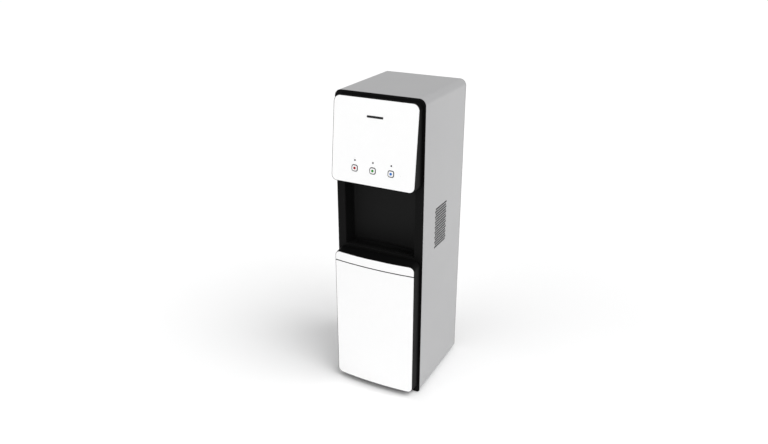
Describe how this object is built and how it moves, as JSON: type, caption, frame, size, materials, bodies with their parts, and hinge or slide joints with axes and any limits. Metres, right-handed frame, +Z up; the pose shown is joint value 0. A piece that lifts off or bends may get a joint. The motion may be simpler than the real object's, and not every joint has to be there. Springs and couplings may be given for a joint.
{
  "type": "bottom-loading water dispenser",
  "caption": "Free-standing water dispenser: wrap-over steel cabinet, tilted key panel, recessed niche with drip tray, bottle door below, cooling and heating works inside.",
  "frame": {"origin": "on the floor, under the middle of the whole machine's box", "axes": "+Z up; the door and the key panel face -Y; +X is to the right of someone facing the front; +Y towards the rear cover"},
  "size_m": [0.31, 0.3752, 1.034],
  "materials": {
    "shell_paint": "satin silver-grey powder coat on sheet steel",
    "black_abs": "black ABS with a fine satin grain",
    "white_gloss": "glossy white ABS",
    "badge_dark": "dark gloss label bar",
    "ring_dark": "dark grey satin ring",
    "dot_red": "red tinted gloss",
    "dot_green": "green tinted gloss",
    "dot_blue": "blue tinted gloss",
    "lamp_lens": "smoked lens",
    "rear_dark": "dark grey moulded back with a grain",
    "galvanised": "galvanised sheet steel",
    "hinge_steel": "black zinc-plated steel",
    "pin_steel": "turned steel",
    "foot_rubber": "moulded black rubber",
    "stainless": "drawn stainless steel",
    "foam": "expanded polystyrene foam",
    "jacket": "felt insulating jacket",
    "heater_band": "aluminium heater band",
    "copper": "drawn copper tube",
    "machine_black": "black baked enamel",
    "silicone": "milky silicone tube",
    "pump_plastic": "glass-filled nylon",
    "valve_plastic": "white nylon with a potted coil",
    "board_green": "solder mask on glass-epoxy board",
    "switch_black": "black nylon",
    "rocker_red": "red gloss rocker",
    "rocker_green": "green gloss rocker",
    "magnet": "plated magnet in its cup",
    "probe_blue": "pale food-grade plastic",
    "screw_steel": "zinc-plated steel",
    "cap_grey": "grey nylon cap"
  },
  "bodies": {
    "cabinet": {"cabinet_shell": "shell_paint", "base_plate": "galvanised", "rubber_feet": "foot_rubber", "middle_shelf": "galvanised", "front_bezel": "black_abs", "niche_liner": "black_abs", "panel_housing": "black_abs", "control_panel": "white_gloss", "badge": "badge_dark", "key_rings": "ring_dark", "key_board": "board_green", "key_switches": "switch_black", "indicator_lamps": "lamp_lens", "strike_plate": "hinge_steel", "hinge_tabs": "hinge_steel", "hinge_pins": "pin_steel", "solenoid_valves": "valve_plastic", "tank_bracket": "galvanised", "cold_tank": "stainless", "cold_foam": "foam", "evaporator_coil": "copper", "hot_tank": "stainless", "band_heater": "heater_band", "hot_jacket": "jacket", "water_lines": "silicone", "compressor": "machine_black", "compressor_grommets": "foot_rubber", "refrigerant_lines": "copper", "condenser_tube": "machine_black", "condenser_wires": "machine_black", "water_pump": "pump_plastic", "control_board": "board_green", "probe_hose": "silicone", "probe_clip": "black_abs", "rear_cover": "rear_dark", "rear_screws": "screw_steel", "power_inlet": "switch_black", "switch_frame": "switch_black", "drain_caps": "cap_grey", "nozzle_hot": "switch_black", "nozzle_ambient": "switch_black", "nozzle_cold": "switch_black"},
    "door": {"door_carcass": "black_abs", "door_inner_panel": "black_abs", "door_face": "white_gloss", "door_top_strip": "white_gloss", "door_magnet": "magnet"},
    "drip_tray": {"drip_tray": "black_abs"},
    "drip_grille": {"drip_grille": "black_abs"},
    "key_hot": {"key_hot": "white_gloss", "key_dot_hot": "dot_red"},
    "key_ambient": {"key_ambient": "white_gloss", "key_dot_ambient": "dot_green"},
    "key_cold": {"key_cold": "white_gloss", "key_dot_cold": "dot_blue"},
    "rocker_heat": {"rocker_heat": "rocker_red"},
    "rocker_cool": {"rocker_cool": "rocker_green"},
    "bottle_probe": {"bottle_probe": "probe_blue"}
  },
  "joints": [
    {"name": "door_swing", "type": "hinge", "parent": "cabinet", "child": "door", "pos_m": [-0.138, -0.15485, 0.26], "axis": [0, 0, -1], "range_deg": [0, 95]},
    {"name": "tray_pull", "type": "slide", "parent": "cabinet", "child": "drip_tray", "axis": [0, -0.6428, 0.766], "range_m": [0, 0.16]},
    {"name": "grille_lift", "type": "slide", "parent": "drip_tray", "child": "drip_grille", "axis": [0, 0, 1], "range_m": [0, 0.05]},
    {"name": "probe_lift", "type": "slide", "parent": "cabinet", "child": "bottle_probe", "axis": [0, 0, 1], "range_m": [0, 0.04], "deforming": ["probe_hose"]},
    {"name": "key_press_hot", "type": "slide", "parent": "cabinet", "child": "key_hot", "axis": [0, 0.994, -0.1094], "range_m": [0, 0.001], "stiffness_N_per_m": 600, "springref_m": -0.0004},
    {"name": "key_press_ambient", "type": "slide", "parent": "cabinet", "child": "key_ambient", "axis": [0, 0.994, -0.1094], "range_m": [0, 0.001], "stiffness_N_per_m": 600, "springref_m": -0.0004},
    {"name": "key_press_cold", "type": "slide", "parent": "cabinet", "child": "key_cold", "axis": [0, 0.994, -0.1094], "range_m": [0, 0.001], "stiffness_N_per_m": 600, "springref_m": -0.0004},
    {"name": "rocker_heat_tilt", "type": "hinge", "parent": "cabinet", "child": "rocker_heat", "pos_m": [-0.013, 0.18125, 0.5295], "axis": [-1, 0, 0], "range_deg": [0, 20]},
    {"name": "rocker_cool_tilt", "type": "hinge", "parent": "cabinet", "child": "rocker_cool", "pos_m": [0.013, 0.18125, 0.5295], "axis": [-1, 0, 0], "range_deg": [0, 20]}
  ]
}
